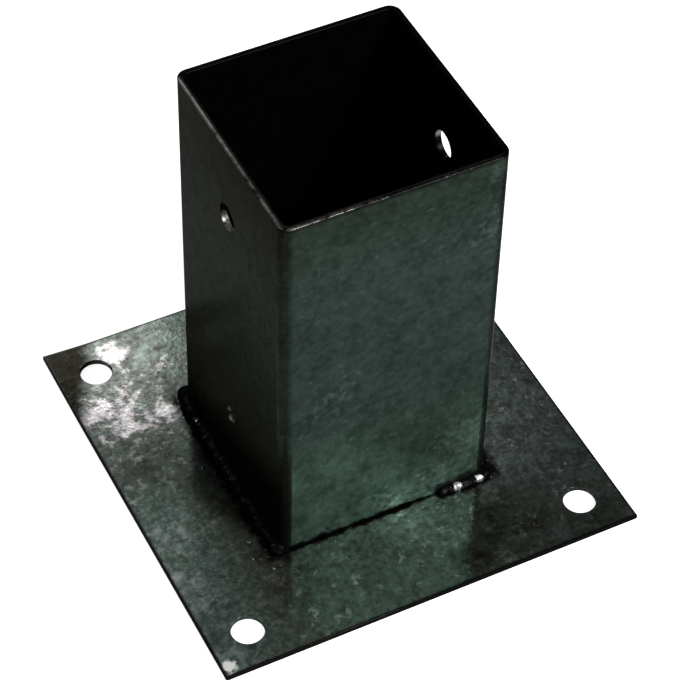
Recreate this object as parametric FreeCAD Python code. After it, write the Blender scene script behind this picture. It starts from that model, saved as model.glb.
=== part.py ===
import FreeCAD, Part
import os
from math import cos, pi, radians, sin

# A bolt-down base for a square timber post.  A flat steel plate is anchored to concrete through four
# holes, and a square steel sleeve welded on top of it takes the foot of the post, which one bolt
# through both side walls holds.  The sleeve is fixed by fillet welds laid bead by bead outside its foot.
# Millimetres.  The origin is the middle of the plate's underside, +Z is up the post, and +X runs along
# the bolt that crosses the sleeve.

# Base plate
PLATE_SIDE = 150.0
PLATE_THICKNESS = 2.0
ANCHOR_HOLE_DIAMETER = 11.0
ANCHOR_HOLE_INSET = 14.0        # plate edge to the middle of the hole
PLATE_EDGE_EASE = 0.25          # sheared edges, rubbed down before coating

# Post sleeve
POST_SIDE = 70.0                # planed timber
POST_CLEARANCE = 1.0            # all round, between the timber and the wall
SLEEVE_WALL = 2.0
SLEEVE_BEND_INNER = 2.0         # inside radius of the four upright corners
OVERALL_HEIGHT = 150.0          # underside of the plate to the sleeve's rim
RIM_EASE = 0.4                  # rounding of the rim's outer and inner edge
BOLT_HOLE_DIAMETER = 10.0
BOLT_HOLE_DROP = 28.0           # rim down to the axis of the bolt

# Welds
WELD_LEG = 3.6                  # how far the bead reaches out from the wall, and up it
WELD_PITCH = 2.4                # from one ripple of the bead to the next
WELD_RIPPLE = 0.5               # height of a ripple's edge over the start of the next one
WELD_UNEVENNESS = 0.12          # share by which the bead swells and thins, laid by hand
WELD_SWELL_LENGTH = 13.0        # from one swelling of the bead to the next
WELD_END_TURN = 45.0            # degrees round the bend at which a side weld's last drop sits
STITCH_LENGTH = 9.6             # the short welds, between the middles of their first and last drop
STITCH_CORNER_GAP = 2.0         # last drop of a short weld to where its wall starts to bend

SLEEVE_INNER = POST_SIDE + 2 * POST_CLEARANCE
SLEEVE_OUTER = SLEEVE_INNER + 2 * SLEEVE_WALL
SLEEVE_BEND_OUTER = SLEEVE_BEND_INNER + SLEEVE_WALL
ANCHOR_OFFSET = PLATE_SIDE / 2 - ANCHOR_HOLE_INSET

X_AXIS = FreeCAD.Vector(1, 0, 0)
Z_AXIS = FreeCAD.Vector(0, 0, 1)


def square_block(side, bottom, top, corner_radius=0.0):
    """An upright square prism about the Z axis, with its four upright edges rounded."""
    corner = FreeCAD.Vector(-side / 2, -side / 2, bottom)
    block = Part.makeBox(side, side, top - bottom, corner)
    if corner_radius > 0:
        block = block.makeFillet(corner_radius, upright_edges(block))
    return block


def upright_edges(shape):
    """The straight edges of a shape that run along Z."""
    return [edge for edge in shape.Edges
            if isinstance(edge.Curve, Part.Line) and abs(edge.Curve.Direction.dot(Z_AXIS)) > 0.99]


def edges_at_height(shape, height):
    """The edges of a shape that lie flat at one height."""
    return [edge for edge in shape.Edges
            if abs(edge.BoundBox.ZMin - height) < 1e-6 and abs(edge.BoundBox.ZMax - height) < 1e-6]


def base_plate():
    """The plate: cut square from sheet, its top edges eased, one anchor hole in each corner."""
    plate = square_block(PLATE_SIDE, 0, PLATE_THICKNESS)
    plate = plate.makeFillet(PLATE_EDGE_EASE, edges_at_height(plate, PLATE_THICKNESS))
    for x in (-ANCHOR_OFFSET, ANCHOR_OFFSET):
        for y in (-ANCHOR_OFFSET, ANCHOR_OFFSET):
            hole = Part.makeCylinder(ANCHOR_HOLE_DIAMETER / 2, PLATE_THICKNESS, FreeCAD.Vector(x, y, 0))
            plate = plate.cut(hole)
    return plate


def post_sleeve():
    """The sleeve: a square tube with rounded upright corners, open at the top, crossed by the bolt hole."""
    outside = square_block(SLEEVE_OUTER, PLATE_THICKNESS, OVERALL_HEIGHT, SLEEVE_BEND_OUTER)
    inside = square_block(SLEEVE_INNER, PLATE_THICKNESS, OVERALL_HEIGHT, SLEEVE_BEND_INNER)
    sleeve = outside.cut(inside)
    sleeve = sleeve.makeFillet(RIM_EASE, edges_at_height(sleeve, OVERALL_HEIGHT))
    bolt_start = FreeCAD.Vector(-SLEEVE_OUTER / 2, 0, OVERALL_HEIGHT - BOLT_HOLE_DROP)
    return sleeve.cut(Part.makeCylinder(BOLT_HOLE_DIAMETER / 2, SLEEVE_OUTER, bolt_start, X_AXIS))


def bead_drop(place):
    """The round drop of metal where a bead starts or stops."""
    return Part.makeSphere(WELD_LEG, place, X_AXIS)


def bead_ripples(start, end):
    """A row of ripples along the foot of the wall that faces -Y.  Each is a short cone that opens the way
    the torch went, so that its edge stands over the next one's start."""
    ripples = []
    count = max(round((end - start) / WELD_PITCH), 1)
    pitch = (end - start) / count
    for i in range(count):
        swell = 1 + WELD_UNEVENNESS * sin(2 * pi * (i + 0.5) * pitch / WELD_SWELL_LENGTH)
        place = FreeCAD.Vector(start + i * pitch, -SLEEVE_OUTER / 2, PLATE_THICKNESS)
        edge = WELD_LEG * swell
        ripples.append(Part.makeCone(edge - WELD_RIPPLE, edge, pitch, place, X_AXIS))
    return ripples


def settled(metal, wall_turn):
    """Weld metal of one run as it sets: one solid, without what would lie in the plate or the sleeve,
    turned from the wall that faces -Y to its own wall."""
    bead = metal[0].multiFuse(metal[1:])
    reach = SLEEVE_OUTER + 4 * WELD_LEG
    bead = bead.common(square_block(reach, PLATE_THICKNESS, PLATE_THICKNESS + 2 * WELD_LEG))
    bead = bead.cut(square_block(SLEEVE_OUTER, 0, OVERALL_HEIGHT, SLEEVE_BEND_OUTER))
    bead.rotate(FreeCAD.Vector(0, 0, 0), Z_AXIS, wall_turn)
    return bead


def side_weld(wall_turn):
    """A weld along a whole wall, whose first and last drop sit round the bends at its ends."""
    flat = SLEEVE_OUTER / 2 - SLEEVE_BEND_OUTER
    across = flat + SLEEVE_BEND_OUTER * sin(radians(WELD_END_TURN))
    out = -flat - SLEEVE_BEND_OUTER * cos(radians(WELD_END_TURN))
    ends = [bead_drop(FreeCAD.Vector(x, out, PLATE_THICKNESS)) for x in (-across, across)]
    return settled(bead_ripples(-flat, flat) + ends, wall_turn)


def stitch_weld(wall_turn):
    """A short weld near one end of a wall."""
    last = SLEEVE_OUTER / 2 - SLEEVE_BEND_OUTER - STITCH_CORNER_GAP
    first = last - STITCH_LENGTH
    ends = [bead_drop(FreeCAD.Vector(x, -SLEEVE_OUTER / 2, PLATE_THICKNESS)) for x in (first, last)]
    return settled(bead_ripples(first, last) + ends, wall_turn)


def welds():
    """The four runs.  The walls that the bolt crosses are welded from corner to corner.  The other two
    only have a short stitch near one end, which flows into the long weld beside it."""
    weld_right = side_weld(90)
    weld_left = side_weld(270)
    weld_front = stitch_weld(0).cut(weld_right)
    weld_back = stitch_weld(180).cut(weld_left)
    return {"weld_left": weld_left, "weld_right": weld_right,
            "weld_front": weld_front, "weld_back": weld_back}


pieces = {"base_plate": base_plate(), "post_sleeve": post_sleeve()}
pieces.update(welds())

os.makedirs("parts", exist_ok=True)
for name, shape in pieces.items():
    shape.exportStep("parts/" + name + ".step")
    print(name, "solids", len(shape.Solids), "valid", shape.isValid(), "volume", round(shape.Volume, 1))
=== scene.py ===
import random
from math import cos, radians, sin

import bpy
from mathutils import Matrix, Quaternion, Vector


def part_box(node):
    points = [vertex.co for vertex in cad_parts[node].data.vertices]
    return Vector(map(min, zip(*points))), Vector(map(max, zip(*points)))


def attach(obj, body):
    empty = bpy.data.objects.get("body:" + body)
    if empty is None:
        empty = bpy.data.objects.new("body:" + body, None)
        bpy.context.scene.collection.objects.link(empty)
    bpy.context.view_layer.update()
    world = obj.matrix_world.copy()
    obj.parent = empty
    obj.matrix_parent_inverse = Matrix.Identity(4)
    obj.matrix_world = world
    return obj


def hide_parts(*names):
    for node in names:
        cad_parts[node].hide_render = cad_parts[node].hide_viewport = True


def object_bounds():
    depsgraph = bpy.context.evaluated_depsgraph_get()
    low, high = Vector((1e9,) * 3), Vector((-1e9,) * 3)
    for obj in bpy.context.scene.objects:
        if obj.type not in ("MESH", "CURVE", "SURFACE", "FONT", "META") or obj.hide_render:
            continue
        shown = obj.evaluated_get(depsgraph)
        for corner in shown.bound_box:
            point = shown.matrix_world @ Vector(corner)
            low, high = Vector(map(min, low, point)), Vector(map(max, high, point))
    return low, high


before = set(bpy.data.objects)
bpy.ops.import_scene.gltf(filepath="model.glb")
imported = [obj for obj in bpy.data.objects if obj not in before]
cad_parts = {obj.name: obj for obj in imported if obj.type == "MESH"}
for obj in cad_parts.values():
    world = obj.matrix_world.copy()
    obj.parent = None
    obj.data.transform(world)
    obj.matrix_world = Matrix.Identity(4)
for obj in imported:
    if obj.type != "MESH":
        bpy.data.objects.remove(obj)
cad_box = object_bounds()
MM = 0.001


# Camera.  A long lens looks steeply down over the plate's front left corner and is held a little
# askew, so that the front and left walls and the open top of the sleeve all show.
VIEW_TURN = radians(-27.8)
VIEW_RISE = radians(47.5)
VIEW_ROLL = radians(1.5)
VIEW_DISTANCE = 871.6 * MM
VIEW_LENS = 143.9
VIEW_END = 20.0     # metres
VIEW_AIM = Vector((-3.2, -9.1, 60.0)) * MM

towards_camera = Vector((sin(VIEW_TURN) * cos(VIEW_RISE), -cos(VIEW_TURN) * cos(VIEW_RISE), sin(VIEW_RISE)))
level_right = Vector((0, 0, 1)).cross(towards_camera).normalized()
level_up = towards_camera.cross(level_right)
camera_right = level_right * cos(VIEW_ROLL) + level_up * sin(VIEW_ROLL)
camera_up = level_up * cos(VIEW_ROLL) - level_right * sin(VIEW_ROLL)
bpy.ops.object.camera_add()
camera = bpy.context.object
camera.name = "camera"
camera.data.lens = VIEW_LENS
camera.data.clip_end = VIEW_END
camera.matrix_world = (Matrix.Translation(VIEW_AIM + towards_camera * VIEW_DISTANCE)
                       @ Matrix((camera_right, camera_up, towards_camera)).transposed().to_4x4())
bpy.context.scene.camera = camera
bpy.context.scene.view_settings.view_transform = "Standard"


# Floor.  A plain white table that runs out of view on all sides.  It takes the object's shadow, and
# its colour is lifted to white where the camera or a glossy surface sees it.
FLOOR_SIDE = 6.0    # metres
FLOOR_GAP = 0.05 * MM
FLOOR_COLOUR = (0.80, 0.80, 0.80, 1)
LIFT_SEEN = 0.85
LIFT_REFLECTED = 0.12


def add_node(tree, kind, inputs=(), **settings):
    """A shader node with its settings, and its inputs given as values or as other nodes' outputs."""
    node = tree.nodes.new(kind)
    for label, value in settings.items():
        setattr(node, label, value)
    for label, value in dict(inputs).items():
        if isinstance(value, bpy.types.NodeSocket):
            tree.links.new(value, node.inputs[label])
        else:
            node.inputs[label].default_value = value
    return node


bpy.ops.mesh.primitive_plane_add(size=FLOOR_SIDE, location=(0, 0, cad_box[0][2] - FLOOR_GAP))
floor = bpy.context.object
floor.name = "floor"
bpy.ops.object.transform_apply(location=True, rotation=True, scale=True)
white_table = bpy.data.materials.new("white_table")
white_table.use_nodes = True
tree = white_table.node_tree
tree.nodes.clear()
path = add_node(tree, "ShaderNodeLightPath")
seen = add_node(tree, "ShaderNodeMath",
                {0: path.outputs["Is Camera Ray"], 1: path.outputs["Is Transmission Ray"]},
                operation="MAXIMUM")
seen = add_node(tree, "ShaderNodeMath", {0: seen.outputs[0], 1: LIFT_SEEN}, operation="MULTIPLY")
lift = add_node(tree, "ShaderNodeMath",
                {0: path.outputs["Is Glossy Ray"], 1: LIFT_REFLECTED, 2: seen.outputs[0]},
                operation="MULTIPLY_ADD")
table = add_node(tree, "ShaderNodeBsdfDiffuse", {"Color": FLOOR_COLOUR})
glow = add_node(tree, "ShaderNodeEmission", {"Strength": lift.outputs[0]})
both = add_node(tree, "ShaderNodeAddShader", {0: table.outputs[0], 1: glow.outputs[0]})
add_node(tree, "ShaderNodeOutputMaterial", {"Surface": both.outputs[0]})
floor.data.materials.append(white_table)


# Studio light.  A dim grey room, a strong soft lamp high in front on the right, and a weak one on the
# left.  A panel and a small lamp high behind are there to be reflected by the plate: the small one is the
# glare at its back left.
ROOM_GREY = (0.18, 0.18, 0.18, 1)

room = bpy.data.worlds.new("grey_room")
bpy.context.scene.world = room
room.use_nodes = True
room.node_tree.nodes["Background"].inputs["Color"].default_value = ROOM_GREY


def hang_lamp(name, target, direction, distance, size, power, turn=0.0):
    """A square soft lamp that shines on a target from a direction, turned in its own plane."""
    bpy.ops.object.light_add(type="AREA", location=Vector(target) + Vector(direction).normalized() * distance)
    lamp = bpy.context.object
    lamp.name = name
    upright = Vector(direction).to_track_quat("Z", "Y")
    lamp.rotation_euler = (upright @ Quaternion((0, 0, 1), turn)).to_euler()
    lamp.data.size = size
    lamp.data.energy = power


hang_lamp("front_lamp", target=(0, -0.03, 0), direction=(0.31, -0.59, 0.74),
          distance=1.6, size=0.43, power=22)
hang_lamp("back_panel", target=(-0.046, 0.062, 0.002), direction=(0.245, 0.626, 0.740),
          distance=1.2, size=0.45, power=0.66, turn=radians(30))
hang_lamp("back_lamp", target=(-0.050, 0.072, 0.002), direction=(0.240, 0.626, 0.742),
          distance=0.5, size=0.055, power=0.08)
hang_lamp("left_lamp", target=(-0.04, 0, 0), direction=(-0.72, 0.30, 0.62),
          distance=1.2, size=0.16, power=2.2)


# Base plate.  A square of 2 mm steel, sheared to size, punched with four anchor holes and dipped in
# black paint, which dried mottled and shows bright metal where its edges and corners were knocked.
HOLE_DIAMETER = 11.0 * MM
HOLE_OFFSET = 61.0 * MM
HOLE_CUTTER = 20.0 * MM
PLATE_EASE = 0.25 * MM
BENT_CORNER = Vector((-0.889, 0.457, 0))      # across the bend, out over the back left corner
BENT_LENGTH = 16.0 * MM
BENT_RISE = 1.0 * MM
BENT_CURVE = 1.3
BENT_CUTS = (1.1, 1.0, 0.9, 0.75, 0.5, 0.25)  # shares of the bent length, back from the corner


def steel_block(name, low, high):
    """A block between two corners, on its own in the selection."""
    bpy.ops.object.select_all(action="DESELECT")
    low, high = Vector(low), Vector(high)
    bpy.ops.mesh.primitive_cube_add(size=1, location=(low + high) / 2, scale=high - low)
    block = bpy.context.object
    block.name = name
    bpy.ops.object.transform_apply(location=True, rotation=True, scale=True)
    return block


def finish_with(piece, kind, **settings):
    """Adds one modifier to a piece and applies it."""
    bpy.ops.object.select_all(action="DESELECT")
    piece.select_set(True)
    bpy.context.view_layer.objects.active = piece
    modifier = piece.modifiers.new(kind.lower(), kind)
    for label, value in settings.items():
        setattr(modifier, label, value)
    bpy.ops.object.modifier_apply(modifier=modifier.name)


def cut_away(piece, cutter):
    """Takes another object's room out of a piece, and the other object away."""
    finish_with(piece, "BOOLEAN", operation="DIFFERENCE", object=cutter, solver="EXACT")
    bpy.data.objects.remove(cutter)


def drill(piece, middle, axis, diameter, depth):
    """Cuts a round hole through a piece."""
    bpy.ops.object.select_all(action="DESELECT")
    bpy.ops.mesh.primitive_cylinder_add(vertices=64, radius=diameter / 2, depth=depth, location=middle,
                                        rotation=Vector(axis).to_track_quat("Z", "Y").to_euler())
    cut_away(piece, bpy.context.object)


def deselect_parts(piece):
    """Leaves none of a piece's points, edges and faces selected."""
    for part in (*piece.data.vertices, *piece.data.edges, *piece.data.polygons):
        part.select = False


def ease_edges(piece, chosen, width, segments):
    """Rounds the sharp edges of a piece whose two ends pass the test."""
    bpy.context.tool_settings.mesh_select_mode = (False, True, False)
    bpy.ops.object.mode_set(mode="EDIT")
    bpy.ops.mesh.select_all(action="DESELECT")
    bpy.ops.mesh.edges_select_sharp(sharpness=radians(60))
    bpy.ops.object.mode_set(mode="OBJECT")
    points = piece.data.vertices
    sharp = [edge for edge in piece.data.edges if edge.select]
    deselect_parts(piece)
    for edge in sharp:
        edge.select = chosen(points[edge.vertices[0]].co, points[edge.vertices[1]].co)
    bpy.ops.object.mode_set(mode="EDIT")
    bpy.ops.mesh.bevel(offset=width, segments=segments, affect="EDGES")
    bpy.ops.object.mode_set(mode="OBJECT")


def shade_smoothly(piece, angle):
    """Rounded edges shade as curves, and the flats between them stay flat."""
    bpy.ops.object.select_all(action="DESELECT")
    piece.select_set(True)
    bpy.context.view_layer.objects.active = piece
    bpy.ops.object.shade_smooth_by_angle(angle=radians(angle))
    finish_with(piece, "WEIGHTED_NORMAL", keep_sharp=True)


def cut_across(piece, places, direction):
    """Cuts a piece's faces along parallel planes, so that it can bend."""
    bpy.ops.object.mode_set(mode="EDIT")
    for place in places:
        bpy.ops.mesh.select_all(action="SELECT")
        bpy.ops.mesh.bisect(plane_co=Vector(direction) * place, plane_no=direction)
    bpy.ops.object.mode_set(mode="OBJECT")


plate_low, plate_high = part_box("base_plate")
plate = steel_block("plate", plate_low, plate_high)
for x in (-HOLE_OFFSET, HOLE_OFFSET):
    for y in (-HOLE_OFFSET, HOLE_OFFSET):
        drill(plate, (x, y, plate_low.z), (0, 0, 1), HOLE_DIAMETER, HOLE_CUTTER)
ease_edges(plate, lambda a, b: abs(a.z - b.z) < PLATE_EASE, width=PLATE_EASE, segments=3)
plate_reach = Vector((plate_low.x, plate_high.y, 0)).dot(BENT_CORNER)
bend_start = plate_reach - BENT_LENGTH
cut_across(plate, [plate_reach - BENT_LENGTH * share for share in BENT_CUTS], BENT_CORNER)
for point in plate.data.vertices:
    beyond = max(0.0, point.co.dot(BENT_CORNER) - bend_start) / BENT_LENGTH
    point.co.z += BENT_RISE * (beyond ** BENT_CURVE)
shade_smoothly(plate, angle=50)


def new_group(name, inputs, outputs):
    """An empty node group with its named inputs and outputs."""
    group = bpy.data.node_groups.new(name, "ShaderNodeTree")
    for label, value in inputs:
        kind = "NodeSocketFloat" if isinstance(value, float) else "NodeSocketColor"
        group.interface.new_socket(label, in_out="INPUT", socket_type=kind).default_value = value
    for label, kind in outputs:
        group.interface.new_socket(label, in_out="OUTPUT", socket_type=kind)
    return group, add_node(group, "NodeGroupInput").outputs


def here(tree):
    """A point of the object, in the object's own coordinates."""
    return add_node(tree, "ShaderNodeTexCoord").outputs["Object"]


def noise(tree, size, detail, roughness=0.5):
    """Noise over the object, with blobs of about a size that is a number or an output."""
    rate = add_node(tree, "ShaderNodeMath", {0: 1.0, 1: size}, operation="DIVIDE").outputs[0]
    return add_node(tree, "ShaderNodeTexNoise", {"Vector": here(tree), "Scale": rate, "Detail": detail,
                                                 "Roughness": roughness}).outputs["Fac"]


def math(tree, operation, *values):
    """One step of arithmetic between numbers or outputs."""
    return add_node(tree, "ShaderNodeMath", dict(enumerate(values)), operation=operation).outputs[0]


def between(tree, value, low, high, new_low=0.0, new_high=1.0):
    """A value spread from one range to another, and held there."""
    return add_node(tree, "ShaderNodeMapRange", {"Value": value, "From Min": low, "From Max": high,
                                                 "To Min": new_low, "To Max": new_high}).outputs[0]


def overlap(tree, *shares):
    """How much a point is in several areas at once."""
    common = shares[0]
    for share in shares[1:]:
        common = math(tree, "MULTIPLY", common, share)
    return common


def blend(tree, share, first, second):
    """A colour or a number on its way from the first to the second."""
    if isinstance(first, tuple) or getattr(first, "type", "") == "RGBA":
        return add_node(tree, "ShaderNodeMix", {0: share, 6: first, 7: second}, data_type="RGBA").outputs[2]
    return add_node(tree, "ShaderNodeMix", {0: share, 2: first, 3: second}).outputs[0]


def tinted(tree, share, colour, tone):
    """A colour multiplied by a tone, as far as a share says."""
    return add_node(tree, "ShaderNodeMix", {0: share, 6: colour, 7: tone}, data_type="RGBA",
                    blend_type="MULTIPLY").outputs[2]


# Paint that dried unevenly: patches and small flecks of tone, patches of gloss, over fine grain.
mottled_paint, given = new_group(
    "mottled_paint",
    inputs=(("Thin", (0.06, 0.06, 0.06, 1)), ("Thick", (0.03, 0.03, 0.03, 1)), ("Patch Size", 5 * MM),
            ("Grain Size", 1.2 * MM), ("Dull", 0.3), ("Glossy", 0.2)),
    outputs=(("Color", "NodeSocketColor"), ("Roughness", "NodeSocketFloat"), ("Height", "NodeSocketFloat")))
patches = noise(mottled_paint, given["Patch Size"], detail=4.0, roughness=0.6)
flecks = noise(mottled_paint, given["Grain Size"], detail=3.0)
height = math(mottled_paint, "ADD", patches, flecks)
tone = between(mottled_paint, height, 0.76, 1.24)
gloss = between(mottled_paint, patches, 0.30, 0.70)
add_node(mottled_paint, "NodeGroupOutput",
         {"Color": blend(mottled_paint, tone, given["Thick"], given["Thin"]),
          "Roughness": blend(mottled_paint, gloss, given["Dull"], given["Glossy"]), "Height": height})

# Bare specks where the paint didn't take, in drifts.
bare_specks, given = new_group(
    "bare_specks", inputs=(("Speck Size", 0.8 * MM), ("Drift Size", 20 * MM), ("Amount", 0.5)),
    outputs=(("Mask", "NodeSocketFloat"),))
specks = between(bare_specks, noise(bare_specks, given["Speck Size"], detail=1.0), 0.63, 0.75)
drifts = between(bare_specks, noise(bare_specks, given["Drift Size"], detail=1.0), 0.48, 0.60)
add_node(bare_specks, "NodeGroupOutput", {"Mask": overlap(bare_specks, specks, drifts, given["Amount"])})

# Paint knocked off near an edge, given how far each point is from that edge.
chipped_edge, given = new_group(
    "chipped_edge", inputs=(("Distance", 0.0), ("Reach", 1.0 * MM), ("Chip Size", 3 * MM), ("Amount", 0.5)),
    outputs=(("Mask", "NodeSocketFloat"),))
near = math(chipped_edge, "SUBTRACT", 1.0, math(chipped_edge, "DIVIDE", given["Distance"], given["Reach"]))
chips = math(chipped_edge, "ADD", noise(chipped_edge, given["Chip Size"], detail=3.0), given["Amount"])
add_node(chipped_edge, "NodeGroupOutput",
         {"Mask": between(chipped_edge, overlap(chipped_edge, near, chips), 0.75, 0.90)})

PAINT_METALLIC = 0.75
PAINT_GLANCE = (0.46, 0.46, 0.46, 1)


def black_paint(name, thin, thick, patch_size, grain_size, dull, glossy, relief):
    """The black paint with its own tones, gloss and relief: its nodes, its colour and where a colour goes."""
    paint = bpy.data.materials.new(name)
    paint.use_nodes = True
    tree = paint.node_tree
    mottle = add_node(tree, "ShaderNodeGroup", node_tree=mottled_paint)
    for label, value in (("Thin", thin), ("Thick", thick), ("Patch Size", patch_size),
                         ("Grain Size", grain_size), ("Dull", dull), ("Glossy", glossy)):
        mottle.inputs[label].default_value = value
    bump = add_node(tree, "ShaderNodeBump", {"Distance": relief, "Height": mottle.outputs["Height"]})
    shader = tree.nodes["Principled BSDF"]
    shader.inputs["Metallic"].default_value = PAINT_METALLIC
    shader.inputs["Specular IOR Level"].default_value = 0.0
    shader.inputs["Specular Tint"].default_value = PAINT_GLANCE
    tree.links.new(mottle.outputs["Color"], shader.inputs["Base Color"])
    tree.links.new(mottle.outputs["Roughness"], shader.inputs["Roughness"])
    tree.links.new(bump.outputs["Normal"], shader.inputs["Normal"])
    return tree, mottle.outputs["Color"], shader.inputs["Base Color"]


def where(tree):
    """The coordinates of a point of the object, as they are and without their sign."""
    outward = add_node(tree, "ShaderNodeVectorMath", {0: here(tree)}, operation="ABSOLUTE").outputs["Vector"]
    return (add_node(tree, "ShaderNodeSeparateXYZ", {0: here(tree)}).outputs,
            add_node(tree, "ShaderNodeSeparateXYZ", {0: outward}).outputs)


def around(tree, spots):
    """How much a point is in spots, each given in millimetres by its place, its size and its strength."""
    share = 0.0
    for x, y, z, size, strength in spots:
        far = add_node(tree, "ShaderNodeVectorMath", {0: here(tree), 1: Vector((x, y, z)) * MM},
                       operation="DISTANCE").outputs["Value"]
        share = math(tree, "MAXIMUM", share, between(tree, far, size * MM, 0.0, 0.0, strength))
    return share


def wavering(tree, measure, unevenness, amount):
    """A measure that an unevenness adds to, by an amount at most."""
    return math(tree, "MULTIPLY_ADD", unevenness, amount, measure)


BARE_STEEL = (0.42, 0.42, 0.41, 1)
RAGGED = {"size": 2.5 * MM, "detail": 3.0}
UNEVEN = {"size": 6 * MM, "detail": 4.0, "roughness": 0.65}
tree, colour, base = black_paint("plate_paint", thin=(0.075, 0.096, 0.086, 1), thick=(0.034, 0.037, 0.031, 1),
                                 patch_size=4.5 * MM, grain_size=1.8 * MM, dull=0.18, glossy=0.09,
                                 relief=0.03 * MM)
place, outward = where(tree)
from_middle = math(tree, "MAXIMUM", outward["X"], outward["Y"])
ragged = noise(tree, **RAGGED)
uneven = noise(tree, **UNEVEN)

# Pale patches, partly thin paint and partly painted glare and reflection, most at the back left and along the
# left side.
THIN_PAINT_AND_GLARE = (0.30, 0.305, 0.30, 1)
THIN_AND_GLARE_SPOTS = ((-53, 67, 2, 10, 0.34), (-69, 42, 2, 11, 0.36), (-61, 35, 2, 12, 0.36), (-52, 33, 2, 10, 0.30),
              (-46, 34, 2, 9, 0.34), (-55, 46, 2, 10, 0.20), (-72, -70, 2, 8, 0.60), (-69, 20, 2, 8, 0.10),
              (-66, 6, 2, 12, 0.14), (-66, -14, 2, 16, 0.18), (-70, -36, 2, 14, 0.20), (-73, -33, 2, 7, 0.36),
              (-73, -46, 2, 7, 0.30), (-62, -42, 2, 10, 0.10), (24, -44, 2, 5, 0.12))
thin = math(tree, "ADD", around(tree, THIN_AND_GLARE_SPOTS), noise(tree, size=4 * MM, detail=4.0, roughness=0.6))
colour = blend(tree, between(tree, thin, 0.60, 0.80), colour, THIN_PAINT_AND_GLARE)

# Painted reflection: lighter areas before the sleeve and on the plate's right side.
REFLECTION_TONE = (1.95, 1.95, 2.05, 1)
REFLECTION_SPOTS = ((5, -47, 2, 12, 1), (12, -45, 2, 8, 0.9), (-30, -70, 2, 14, 0.2), (-8, -66, 2, 12, 0.2),
               (66, -12, 2, 22, 0.6), (50, -33, 2, 14, 0.9), (63, -36, 2, 14, 0.9))
mottled = between(tree, noise(tree, size=5 * MM, detail=3.0, roughness=0.6), 0.35, 0.60)
colour = tinted(tree, overlap(tree, around(tree, REFLECTION_SPOTS), mottled), colour, REFLECTION_TONE)

# Dull paint, dried without a shine, along the left side and at the front left corner, and a bare tip there.
# Here and below, a pair of places says where an area begins and where it is full.
DULL_PAINT = (0.040, 0.062, 0.052, 1)
DULL_FLECKS = (0.135, 0.175, 0.155, 1)
DULL_SIDE_X = (-39 * MM, -52 * MM)
DULL_SIDE_Y = (16 * MM, -4 * MM)
DULL_SIDE_SHARE = 0.45
DULL_SPOTS = ((-71.5, -71, 2, 7, 1.3), (-46, -46, 2, 10, 0.5))
DULL_METALLIC_LOSS = 0.6
BARE_TIP = (0.75, 0.75, 0.73, 1)
TIP_SPOTS = ((-72.5, -71.5, 2, 5, 0.9),)
left_side = overlap(tree, between(tree, place["X"], *DULL_SIDE_X, 0.0, DULL_SIDE_SHARE),
                    between(tree, place["Y"], *DULL_SIDE_Y))
dull = math(tree, "MAXIMUM", left_side, around(tree, DULL_SPOTS))
dull = math(tree, "ADD", dull, noise(tree, size=3 * MM, detail=4.0, roughness=0.65))
dull = between(tree, dull, 0.50, 1.20)
flecked = between(tree, noise(tree, size=2.2 * MM, detail=4.0, roughness=0.7), 0.42, 0.64)
colour = blend(tree, dull, colour, blend(tree, flecked, DULL_PAINT, DULL_FLECKS))
tip = math(tree, "ADD", around(tree, TIP_SPOTS), noise(tree, size=2 * MM, detail=3.0))
colour = blend(tree, between(tree, tip, 0.9, 1.1), colour, BARE_TIP)
metallic = math(tree, "MULTIPLY_ADD", dull, -DULL_METALLIC_LOSS, PAINT_METALLIC)
tree.links.new(metallic, tree.nodes["Principled BSDF"].inputs["Metallic"])

# Painted shade, near black, beside the long welds, and a black line of painted shade in the gap before the
# sleeve's foot.
PAINTED_SHADE_BLACK = (0.006, 0.006, 0.005, 1)
FOOT_SHADE_EDGE = (46.8 * MM, 44.5 * MM)
FOOT_SHADE_ENDS = (44 * MM, 38 * MM)
FOOT_SHADE_WAVER = 5 * MM
GAP_SHADE_EDGE = (43.2 * MM, 42.4 * MM)
GAP_SHADE_WAVER = 7 * MM
GAP_SHADE_THINNING = 0.04
FOOT_EDGE = (35 * MM, 37 * MM)
TOP_FACE = (0.5 * MM, 1.5 * MM)


def thinning(tree, measure, across):
    """A measure for the painted shade in the gap at the sleeve's foot, which grows towards the right, where
    the gap and its shade thin.
    """
    rightwards = math(tree, "MAXIMUM", across, 0.0)
    return math(tree, "ADD", measure, math(tree, "MULTIPLY", rightwards, GAP_SHADE_THINNING))


foot_shade = overlap(tree, between(tree, wavering(tree, outward["X"], ragged, FOOT_SHADE_WAVER), *FOOT_SHADE_EDGE),
                between(tree, outward["X"], *FOOT_EDGE), between(tree, outward["Y"], *FOOT_SHADE_ENDS))
gap_shade = wavering(tree, thinning(tree, from_middle, place["X"]), uneven, GAP_SHADE_WAVER)
gap_shade = overlap(tree, between(tree, gap_shade, *GAP_SHADE_EDGE), between(tree, from_middle, *FOOT_EDGE))
foot_shade = overlap(tree, math(tree, "MAXIMUM", foot_shade, gap_shade), between(tree, place["Z"], *TOP_FACE))
colour = blend(tree, foot_shade, colour, PAINTED_SHADE_BLACK)

# Painted dark reflection and shade, in a run from the sleeve's right corner and across the plate's left side.
DARK_REFLECTION_TONE = (0.22, 0.19, 0.13, 1)
DARK_REFLECTION_SPOTS = ((38, -51, 2, 10, 0.9), (31, -54, 2, 12, 1), (27, -60, 2, 13, 1), (20, -67, 2, 14, 1),
              (22, -51, 2, 8, 0.6), (40, -66, 2, 22, 0.7), (60, -72, 2, 20, 0.7), (-62, 14, 2, 20, 0.65),
              (-46, 8, 2, 14, 0.35), (-48, 62, 2, 16, 0.4), (-44, 48, 2, 12, 0.4))
mottled = between(tree, noise(tree, size=5 * MM, detail=3.0), 0.30, 0.50)
colour = tinted(tree, overlap(tree, around(tree, DARK_REFLECTION_SPOTS), mottled), colour, DARK_REFLECTION_TONE)
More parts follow.
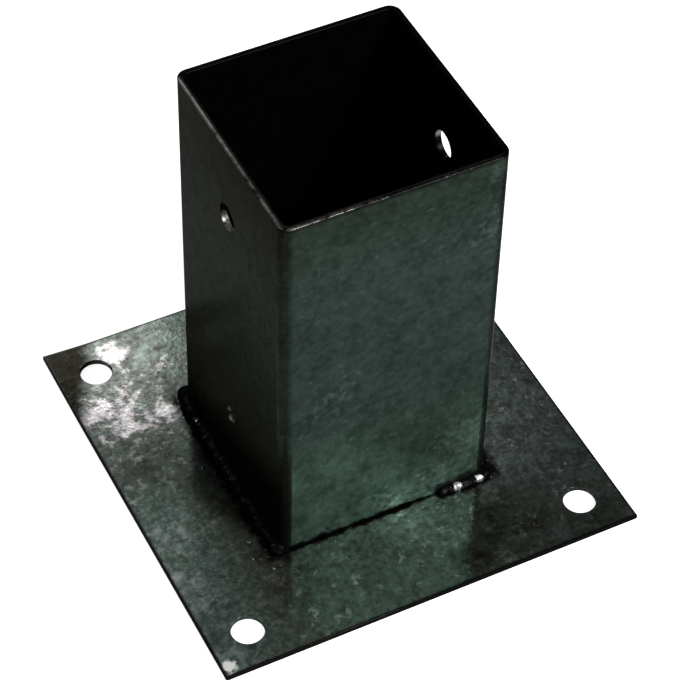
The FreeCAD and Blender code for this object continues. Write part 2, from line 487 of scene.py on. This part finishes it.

# Browner painted shade, outside the near-black painted shade on the left and round the front left corner, and
# grey paint at the back left.
BROWN_SHADE_TONE = (0.66, 0.52, 0.46, 1)
BROWN_OUTSIDE = (-62 * MM, -46 * MM)
BROWN_INSIDE = (-38 * MM, -42 * MM)
BROWN_BACK = (16 * MM, 0.0)
BROWN_SHADE_SPOTS = ((-38, -45, 2, 13, 1), (-46, -52, 2, 14, 0.8))
GREY_TONE = (1.06, 0.95, 1.0, 1)
GREY_SPOTS = ((-56, 52, 2, 44, 1),)
brown_shade = overlap(tree, between(tree, place["X"], *BROWN_OUTSIDE), between(tree, place["X"], *BROWN_INSIDE),
                between(tree, place["Y"], *BROWN_BACK))
brown_shade = math(tree, "MAXIMUM", brown_shade, around(tree, BROWN_SHADE_SPOTS))
colour = tinted(tree, overlap(tree, brown_shade, between(tree, uneven, 0.25, 0.60)), colour, BROWN_SHADE_TONE)
colour = tinted(tree, around(tree, GREY_SPOTS), colour, GREY_TONE)

# The bent back left corner is painted near black, past a wavering line beyond the start of the bend.
CORNER_BLACK = (0.007, 0.0065, 0.005, 1)
CORNER_WAVER = 12 * MM
CORNER_EDGE = (3 * MM, 9 * MM)      # past the start of the bend
along_bend = add_node(tree, "ShaderNodeVectorMath", {0: here(tree), 1: BENT_CORNER}, operation="DOT_PRODUCT")
dark_corner = wavering(tree, along_bend.outputs["Value"], noise(tree, size=4 * MM, detail=4.0, roughness=0.6),
                CORNER_WAVER)
dark_corner = between(tree, dark_corner, bend_start + CORNER_EDGE[0], bend_start + CORNER_EDGE[1])
colour = blend(tree, dark_corner, colour, CORNER_BLACK)

# Bare flecks in drifts, chips along the left edge, and a dark cut edge all round.
SPECKS = {"Speck Size": 1.6 * MM, "Drift Size": 16 * MM, "Amount": 0.25}
CHIP_REACH = 2.2 * MM
CHIP_SIZE = 5 * MM
CHIP_AMOUNT = 0.40
CHIPPED_SIDE = (-60 * MM, -74 * MM)
EDGE_PAINT = (0.010, 0.010, 0.009, 1)
EDGE_WAVER = 0.6 * MM
EDGE_INSET = (0.8 * MM, 0.1 * MM)  # in from the plate's edge
specks = add_node(tree, "ShaderNodeGroup", SPECKS, node_tree=bare_specks).outputs["Mask"]
chips = add_node(tree, "ShaderNodeGroup",
                 {"Distance": math(tree, "SUBTRACT", plate_high.x, from_middle),
                  "Reach": CHIP_REACH, "Chip Size": CHIP_SIZE,
                  "Amount": between(tree, place["X"], *CHIPPED_SIDE, 0.0, CHIP_AMOUNT)},
                 node_tree=chipped_edge).outputs["Mask"]
bare = overlap(tree, math(tree, "MAXIMUM", specks, chips), math(tree, "SUBTRACT", 1.0, dark_corner))
colour = blend(tree, bare, colour, BARE_STEEL)
cut_edge = between(tree, wavering(tree, from_middle, ragged, EDGE_WAVER),
                   plate_high.x - EDGE_INSET[0], plate_high.x - EDGE_INSET[1])
tree.links.new(blend(tree, cut_edge, colour, EDGE_PAINT), base)
plate.data.materials.append(bpy.data.materials["plate_paint"])
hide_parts("base_plate")
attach(plate, "root")


# Post sleeve.  A square tube bent from 2 mm steel with rounded upright corners, cut to length, drilled
# through both side walls for the bolt, stood on the plate and dipped with it.
SLEEVE_WALL = 2.0 * MM
SLEEVE_BEND = 4.0 * MM
UPRIGHT_EDGE = 100.0 * MM
BOLT_DIAMETER = 10.0 * MM
BOLT_DROP = 28.0 * MM
BOLT_CUTTER = 120.0 * MM
RIM_EASE = 0.4 * MM
FOOT_CHAMFER = 0.9 * MM
FOOT_OUTSIDE = 1.5 * MM
SAME_HEIGHT = 0.01 * MM
SAME_WALL = 0.1 * MM


def is_upright(a, b):
    """Whether an edge between two points runs up a whole wall."""
    return abs(a.z - b.z) > UPRIGHT_EDGE


def is_rim(a, b):
    """Whether an edge between two points is at the sleeve's rim."""
    return min(a.z, b.z) > sleeve_high.z - SAME_HEIGHT


def is_outer_foot(a, b):
    """Whether an edge between two points is outside at the sleeve's foot."""
    reach = min(max(abs(a.x), abs(a.y)), max(abs(b.x), abs(b.y)))
    return max(a.z, b.z) < sleeve_low.z + SAME_HEIGHT and reach > sleeve_high.x - FOOT_OUTSIDE


sleeve_low, sleeve_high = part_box("post_sleeve")
sleeve = steel_block("sleeve", sleeve_low, sleeve_high)
ease_edges(sleeve, is_upright, width=SLEEVE_BEND, segments=10)
bpy.context.tool_settings.mesh_select_mode = (False, False, True)
for face in sleeve.data.polygons:
    face.select = abs(face.normal.z) > 0.9  # the block's top and bottom
bpy.ops.object.mode_set(mode="EDIT")
bpy.ops.mesh.delete(type="FACE")
bpy.ops.object.mode_set(mode="OBJECT")
finish_with(sleeve, "SOLIDIFY", thickness=SLEEVE_WALL, offset=-1)
drill(sleeve, (0, 0, sleeve_high.z - BOLT_DROP), (1, 0, 0), BOLT_DIAMETER, BOLT_CUTTER)
ease_edges(sleeve, is_rim, width=RIM_EASE, segments=3)
ease_edges(sleeve, is_outer_foot, width=FOOT_CHAMFER, segments=1)
shade_smoothly(sleeve, angle=35)

tree, colour, base = black_paint("sleeve_paint", thin=(0.044, 0.064, 0.055, 1),
                                 thick=(0.024, 0.037, 0.031, 1), patch_size=7 * MM, grain_size=2.2 * MM,
                                 dull=0.28, glossy=0.20, relief=0.02 * MM)
place, outward = where(tree)
uneven = noise(tree, **UNEVEN)

# Pale patches of painted reflection on the front wall, most of them low down and along its right edge.
PALE_REFLECTION_PAINT = (0.090, 0.125, 0.110, 1)
PALE_REFLECTION_SPOTS = ((33, -38, 26, 20, 0.30), (20, -38, 12, 14, 0.22), (3, -38, 6, 12, 0.30),
              (36, -38, 120, 18, 0.16), (36, -38, 147, 9, 0.30), (-20, -38, 70, 16, 0.12))
pale_reflection = math(tree, "ADD", around(tree, PALE_REFLECTION_SPOTS), noise(tree, size=2.5 * MM, detail=4.0, roughness=0.7))
colour = blend(tree, between(tree, pale_reflection, 0.58, 0.85), colour, PALE_REFLECTION_PAINT)

# Painted light and shade by place: the side walls painted lighter and warmer, browner painted shade high and
# low on them, and darker painted shade towards the top, just under the rim and at the bends.
SIDE_WALL = (36.5 * MM, 37.9 * MM)
SIDE_LIGHT_TONE = (1.30, 1.06, 1.02, 1)
TOP_PART = (122 * MM, 150 * MM)
TOP_SHADE_TONE = (0.76, 0.73, 0.70, 1)
HIGH_SIDE = (95 * MM, 145 * MM)
HIGH_SIDE_SHADE_TONE = (0.60, 0.54, 0.48, 1)
UNDER_RIM = (148.2 * MM, 149.2 * MM)
UNDER_RIM_SHADE_TONE = (0.5, 0.5, 0.5, 1)
BEND_SHADE_TONE = (0.48, 0.42, 0.38, 1)
LOW_SIDE = (75 * MM, 45 * MM)
LOW_SIDE_SHADE_TONE = (0.98, 0.90, 0.72, 1)
side = between(tree, outward["X"], *SIDE_WALL)
bend = between(tree, math(tree, "MINIMUM", outward["X"], outward["Y"]), sleeve_high.x - SLEEVE_BEND,
               sleeve_high.x - 0.5 * SLEEVE_BEND)
for share, tone in ((side, SIDE_LIGHT_TONE),
                    (between(tree, place["Z"], *TOP_PART), TOP_SHADE_TONE),
                    (overlap(tree, side, between(tree, place["Z"], *HIGH_SIDE)), HIGH_SIDE_SHADE_TONE),
                    (between(tree, place["Z"], *UNDER_RIM), UNDER_RIM_SHADE_TONE),
                    (bend, BEND_SHADE_TONE),
                    (overlap(tree, side, between(tree, place["Z"], *LOW_SIDE)), LOW_SIDE_SHADE_TONE)):
    colour = tinted(tree, share, colour, tone)

# Near-black painted shade low on the side walls, lower towards the back, and a black line of painted shade in
# the gap at the foot.
FOOT_SHADE_HEIGHT = (40 * MM, 20 * MM)
FOOT_SHADE_SLOPE = 0.35
GAP_SHADE_HEIGHT = (8.2 * MM, 7.2 * MM)
FOOT_WAVER = 8 * MM
sloping = math(tree, "MULTIPLY_ADD", place["Y"], FOOT_SHADE_SLOPE, place["Z"])
foot_shade = overlap(tree, side, between(tree, wavering(tree, sloping, uneven, FOOT_WAVER), *FOOT_SHADE_HEIGHT))
gap_shade = wavering(tree, thinning(tree, place["Z"], place["X"]), uneven, FOOT_WAVER)
gap_shade = between(tree, gap_shade, *GAP_SHADE_HEIGHT)
tree.links.new(blend(tree, math(tree, "MAXIMUM", foot_shade, gap_shade), colour, PAINTED_SHADE_BLACK), base)

# The rim, cut and thinly coated, with paint darker than the walls' as painted shade, near black at the back
# and the right, and a painted highlight along its outer half above the left wall and half of the front one.
RIM_HIGHLIGHT_PAINT = (0.16, 0.155, 0.145, 1)
RIM_HIGHLIGHT_LEFT = (-4 * MM, -38 * MM)
RIM_HIGHLIGHT_LEFT_SHARE = 0.28
RIM_HIGHLIGHT_SPOTS = ((-38, 33, 150, 40, 0.20),)
RIM_OUTER_HALF = (36.9 * MM, 37.3 * MM)
FAR_RIM_SHADE = (0.003, 0.003, 0.003, 1)
FAR_RIM_SIDE = (34 * MM, 36 * MM)
tree, colour, base = black_paint("rim_paint", thin=(0.014, 0.014, 0.013, 1), thick=(0.005, 0.005, 0.005, 1),
                                 patch_size=5 * MM, grain_size=1.0 * MM, dull=0.32, glossy=0.22,
                                 relief=0.04 * MM)
place, outward = where(tree)
rim_highlight = math(tree, "ADD", noise(tree, size=3 * MM, detail=4.0, roughness=0.6),
            between(tree, place["X"], *RIM_HIGHLIGHT_LEFT, 0.0, RIM_HIGHLIGHT_LEFT_SHARE))
rim_highlight = math(tree, "ADD", rim_highlight, around(tree, RIM_HIGHLIGHT_SPOTS))
outer_half = between(tree, math(tree, "MAXIMUM", outward["X"], outward["Y"]), *RIM_OUTER_HALF)
rim_highlight = overlap(tree, between(tree, rim_highlight, 0.60, 0.92), outer_half)
far_rim_shade = between(tree, math(tree, "MAXIMUM", place["X"], place["Y"]), *FAR_RIM_SIDE)
tree.links.new(blend(tree, far_rim_shade, blend(tree, rim_highlight, colour, RIM_HIGHLIGHT_PAINT), FAR_RIM_SHADE), base)

# The inside and the bolt's hole in near-black painted shade, with painted light in the hole low in the left
# wall and high in the right one.
INNER_SHADE_TONES = {"thin": (0.006, 0.006, 0.006, 1), "thick": (0.003, 0.003, 0.003, 1)}
BORE_PAINTED_LIGHT = (0.13, 0.13, 0.125, 1)
BORE_BRIGHT_LIGHT = (0.40, 0.40, 0.39, 1)
LOW_IN_HOLE = (121.5 * MM, 118.5 * MM)
HIGH_IN_HOLE = (121 * MM, 123 * MM)
NEAR_MIDDLE = 1 * MM
BORE_LIGHT_SHARE = 0.35
black_paint("inner_paint", **INNER_SHADE_TONES, patch_size=7 * MM, grain_size=2.0 * MM, dull=0.50, glossy=0.40,
            relief=0.05 * MM)
tree, colour, base = black_paint("bore_paint", **INNER_SHADE_TONES, patch_size=2 * MM, grain_size=0.6 * MM,
                                 dull=0.42, glossy=0.30, relief=0.02 * MM)
place = where(tree)[0]
low = overlap(tree, between(tree, place["Z"], *LOW_IN_HOLE),
              between(tree, place["X"], NEAR_MIDDLE, -NEAR_MIDDLE))
low = math(tree, "MULTIPLY_ADD", low, BORE_LIGHT_SHARE, noise(tree, size=2 * MM, detail=2.0))
colour = blend(tree, between(tree, low, 0.66, 0.84), colour, BORE_PAINTED_LIGHT)
high = overlap(tree, between(tree, place["Z"], *HIGH_IN_HOLE),
               between(tree, place["X"], -NEAR_MIDDLE, NEAR_MIDDLE))
tree.links.new(blend(tree, high, colour, BORE_BRIGHT_LIGHT), base)

SLEEVE_PAINTS = ("sleeve_paint", "inner_paint", "bore_paint", "rim_paint")
for name in SLEEVE_PAINTS:
    sleeve.data.materials.append(bpy.data.materials[name])
inner_reach = sleeve_high.x - SLEEVE_WALL
for face in sleeve.data.polygons:
    middle, reach = face.center, max(abs(face.center.x), abs(face.center.y))
    paint = "sleeve_paint"
    if middle.z > sleeve_high.z - RIM_EASE:
        paint = "rim_paint"
    elif reach < inner_reach + SAME_WALL and abs(face.normal.z) < 0.5:
        paint = "inner_paint"
    elif (inner_reach < reach < sleeve_high.x and abs(face.normal.x) < 0.1
          and abs(middle.y) < BOLT_DIAMETER and middle.z < sleeve_high.z - BOLT_DROP / 2):
        paint = "bore_paint"
    face.material_index = SLEEVE_PAINTS.index(paint)
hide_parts("post_sleeve")
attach(sleeve, "root")


# Welds.  The sleeve's foot is welded by hand to the plate: a lumpy bead along each side wall, round
# the bends at its ends, and one short stitch near a corner of the front and of the back wall.
BEAD_VOXEL = 0.35 * MM
BEAD_SEAT = 0.5 * MM        # how far a bead reaches into the wall and the plate
BEAD_GRAIN = 2.2 * MM
BEAD_GRAIN_DEPTH = 0.7 * MM
SEAT_SPARE = 5 * MM         # how far the block that cuts a bead's side goes below the plate's top
UNDER_SPARE = 10 * MM       # and the one that cuts its foot below the plate's underside
# The weld paint is near black as painted shade, and its bright spots are painted highlights on the beads,
# among bare specks.
WELD_HIGHLIGHT_SPOTS = ((26.5, -40, 4.3, 2.6, 0.9), (34.5, -40, 4.3, 2.1, 0.9), (-40, 25, 4, 2.5, 0.3),
                (-40, 17, 4, 2.2, 0.3), (-41, -3, 4, 2.2, 0.3))

tree, colour, base = black_paint("weld_paint", thin=(0.010, 0.010, 0.009, 1), thick=(0.004, 0.004, 0.004, 1),
                                 patch_size=2.5 * MM, grain_size=0.9 * MM, dull=0.44, glossy=0.30,
                                 relief=0.07 * MM)
bare_and_highlight = math(tree, "ADD", around(tree, WELD_HIGHLIGHT_SPOTS), noise(tree, size=1.5 * MM, detail=2.0))
tree.links.new(blend(tree, between(tree, bare_and_highlight, 0.74, 0.92), colour, BARE_STEEL), base)


def metal_drops(name, drops):
    """Drops of metal in one object, each given as its place and its size along X, Y and Z."""
    bpy.ops.object.select_all(action="DESELECT")
    balls = []
    for place, size in drops:
        bpy.ops.mesh.primitive_ico_sphere_add(subdivisions=3, radius=1, location=place, scale=size)
        balls.append(bpy.context.object)
    for ball in balls:
        ball.select_set(True)
    bpy.ops.object.join()
    metal = bpy.context.object
    metal.name = name
    bpy.ops.object.transform_apply(location=True, rotation=True, scale=True)
    return metal


def merge_split_edges(piece):
    """Takes away the points that a cut left part of the way along an edge, so that its faces meet cleanly."""
    edges_at = [0] * len(piece.data.vertices)
    for edge in piece.data.edges:
        for end in edge.vertices:
            edges_at[end] += 1
    deselect_parts(piece)
    for point, edges in zip(piece.data.vertices, edges_at):
        point.select = edges == 2
    bpy.context.tool_settings.mesh_select_mode = (True, False, False)
    bpy.ops.object.mode_set(mode="EDIT")
    bpy.ops.mesh.dissolve_verts()
    bpy.ops.object.mode_set(mode="OBJECT")


def lay_bead(name, drops):
    """A weld grown from drops of metal, seated in the corner between the plate and the sleeve."""
    bead = metal_drops("laid_" + name, drops)
    finish_with(bead, "REMESH", mode="VOXEL", voxel_size=BEAD_VOXEL)
    finish_with(bead, "SMOOTH", factor=0.5, iterations=3)
    grain = bpy.data.textures.new(name + "_grain", "CLOUDS")
    grain.noise_scale = BEAD_GRAIN
    finish_with(bead, "DISPLACE", texture=grain, texture_coords="LOCAL", strength=BEAD_GRAIN_DEPTH,
                mid_level=0.5)
    seat = steel_block("seat",
                       (sleeve_low.x + BEAD_SEAT, sleeve_low.y + BEAD_SEAT, plate_high.z - SEAT_SPARE),
                       (sleeve_high.x - BEAD_SEAT, sleeve_high.y - BEAD_SEAT, sleeve_high.z))
    ease_edges(seat, is_upright, width=SLEEVE_BEND - BEAD_SEAT, segments=6)
    under = steel_block("under", (plate_low.x, plate_low.y, plate_low.z - UNDER_SPARE),
                        (plate_high.x, plate_high.y, plate_high.z - BEAD_SEAT))
    cut_away(bead, seat)
    cut_away(bead, under)
    merge_split_edges(bead)
    bpy.ops.object.shade_smooth_by_angle(angle=radians(60))
    bead.data.materials.append(bpy.data.materials["weld_paint"])
    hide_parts(name)
    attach(bead, "root")


# The long welds: drops one after the other, with lumps where the left one ends at the back and starts at
# the front.  A drop's size, its place out from the wall, its lift and the step to the next one are in
# millimetres, and its depth and height are shares of its size.
SIDE_DROP_SIZE = (2.3, 3.4)
SIDE_DROP_OUT = (-0.3, 0.4)
SIDE_DROP_LIFT = (0, 0.6)
SIDE_DROP_DEPTH = (0.8, 1.1)
SIDE_DROP_HEIGHT = (0.85, 1.1)
SIDE_DROP_STEP = (1.8, 2.9)
LEFT_START = -36.0 * MM
LEFT_LUMPS = ((-38.2, 29.5, 3.8, 3.4), (-37.9, 33.0, 4.8, 3.2), (-37.0, 36.6, 3.6, 3.2),
              (-36.4, -36.9, 2.0, 2.2))
RIGHT_START = -32.5 * MM


def side_drops(side, start, seed):
    """The drops of the long bead along one side wall, from a start at its front to the back."""
    chance = random.Random(seed)
    drops = []
    y = start
    while y < sleeve_high.y:
        size = chance.uniform(*SIDE_DROP_SIZE) * MM
        x = side * sleeve_high.x + side * chance.uniform(*SIDE_DROP_OUT) * MM
        z = plate_high.z + chance.uniform(*SIDE_DROP_LIFT) * MM
        depth, height = chance.uniform(*SIDE_DROP_DEPTH), chance.uniform(*SIDE_DROP_HEIGHT)
        drops.append(((x, y, z), (size, size * depth, size * height)))
        y += chance.uniform(*SIDE_DROP_STEP) * MM
    return drops


lumps = [(Vector((x, y, z)) * MM, Vector((size, size, size)) * MM) for x, y, z, size in LEFT_LUMPS]
lay_bead("weld_left", side_drops(-1, LEFT_START, seed=5) + lumps)
lay_bead("weld_right", side_drops(1, RIGHT_START, seed=8))

# The stitches, near the corner on the right of one who faces the wall.
STITCH_PLACES = (21.5, 24.0, 26.5, 29.5, 32.0, 35.0, 37.3)
STITCH_DROP_SIZE = (2.4, 3.4)
STITCH_DROP_OUT = (-0.2, 0.3)
STITCH_DROP_LIFT = (0, 0.5)
STITCH_DROP_HEIGHT = (0.8, 1.0)


def stitch_drops(side, seed):
    """The drops of a short stitch on the front or the back wall."""
    chance = random.Random(seed)
    drops = []
    for along in STITCH_PLACES:
        size = chance.uniform(*STITCH_DROP_SIZE) * MM
        y = side * (sleeve_high.y + chance.uniform(*STITCH_DROP_OUT) * MM)
        z = plate_high.z + chance.uniform(*STITCH_DROP_LIFT) * MM
        height = chance.uniform(*STITCH_DROP_HEIGHT)
        drops.append(((-side * along * MM, y, z), (size, size, size * height)))
    return drops


lay_bead("weld_front", stitch_drops(-1, seed=3))
lay_bead("weld_back", stitch_drops(1, seed=4))


# Weld spatter.  Small drops of metal thrown off by the welding, frozen where they landed on the plate, and
# left there.
# The two drops high on the left wall, in bright steel, are a painted reflection of the bead's highlights in
# that wall.
SPATTER = ((-38.0, -2.0, 32.0, 1.4), (-38.0, 0.4, 34.4, 0.9), (-45.5, -29.0, 2.0, 0.8),
           (-47.5, -36.0, 2.0, 0.6), (-43.0, -42.5, 2.0, 0.7), (-46.0, 6.0, 2.0, 0.6),
           (18.0, -41.5, 2.0, 0.5), (-20.0, -41.0, 2.0, 0.5), (44.5, -20.0, 2.0, 0.7),
           (46.5, 14.0, 2.0, 0.6), (43.5, 31.0, 2.0, 0.8))
SPATTER_SHAPE = Vector((1, 1.25, 0.85))
SPATTER_GRAIN_DEPTH = 0.4 * MM

spatter = metal_drops("weld_spatter", [(Vector((x, y, z)) * MM, SPATTER_SHAPE * size * MM)
                                       for x, y, z, size in SPATTER])
finish_with(spatter, "DISPLACE", texture=bpy.data.textures["weld_left_grain"], texture_coords="LOCAL",
            strength=SPATTER_GRAIN_DEPTH, mid_level=0.5)
bpy.ops.object.shade_smooth_by_angle(angle=radians(60))
black_paint("spatter_steel", thin=(0.20, 0.20, 0.195, 1), thick=(0.03, 0.03, 0.029, 1), patch_size=1.0 * MM,
            grain_size=0.5 * MM, dull=0.40, glossy=0.28, relief=0.03 * MM)
spatter.data.materials.append(bpy.data.materials["spatter_steel"])
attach(spatter, "root")
